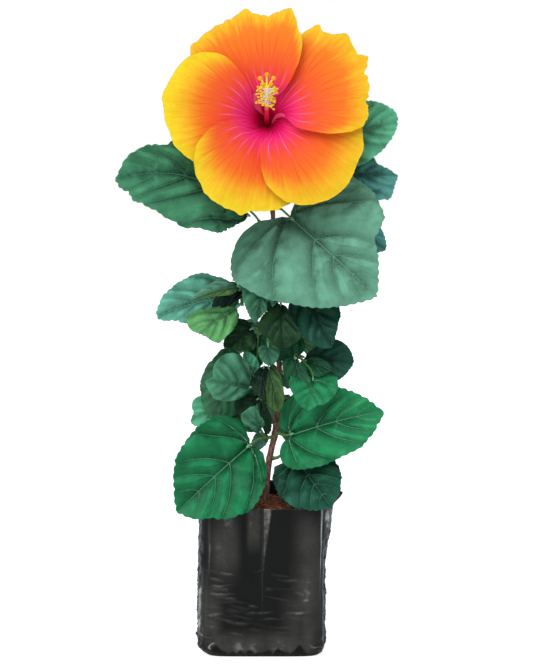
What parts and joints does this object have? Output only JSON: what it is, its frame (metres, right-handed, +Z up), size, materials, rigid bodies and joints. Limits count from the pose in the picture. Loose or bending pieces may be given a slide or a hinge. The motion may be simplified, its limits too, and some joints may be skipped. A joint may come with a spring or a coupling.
{
  "type": "potted hibiscus plant",
  "caption": "Young upright hibiscus with one wide open bloom and round toothed leaves on a single stem, standing in a soft square grow bag of potting mix.",
  "frame": {"origin": "centre of the grow bag's flat underside", "axes": "+Z up along the stem, -Y towards the side that the bloom faces, +X to the right as seen from that side"},
  "size_m": [0.2211, 0.1401, 0.509],
  "materials": {
    "bag_film": "thin creased polythene film, glossy",
    "potting_mix": "damp crumbly coir",
    "bark": "fine young bark, matt",
    "foliage": "smooth living leaf, satin",
    "petals": "soft living petal, matt",
    "calyx": "smooth living sepal, satin",
    "staminal_column": "pollen and filaments, matt"
  },
  "bodies": {
    "root": {"grow_bag": "bag_film", "potting_mix": "potting_mix", "stem": "bark", "calyx": "calyx", "staminal_column": "staminal_column", "leaves_top_left": "foliage", "leaves_top_front": "foliage", "leaves_top_right": "foliage", "leaves_upper_left": "foliage", "leaves_upper_front": "foliage", "leaves_upper_right": "foliage", "leaves_middle_left": "foliage", "leaves_middle_front": "foliage", "leaves_middle_right": "foliage", "leaves_low_left": "foliage", "leaves_low_right": "foliage", "leaves_foot_right": "foliage", "leaves_top_back": "foliage", "leaves_upper_back": "foliage", "leaves_middle_back": "foliage", "leaves_low_back": "foliage", "petal_1": "petals", "petal_2": "petals", "petal_3": "petals", "petal_4": "petals", "petal_5": "petals"}
  },
  "joints": []
}
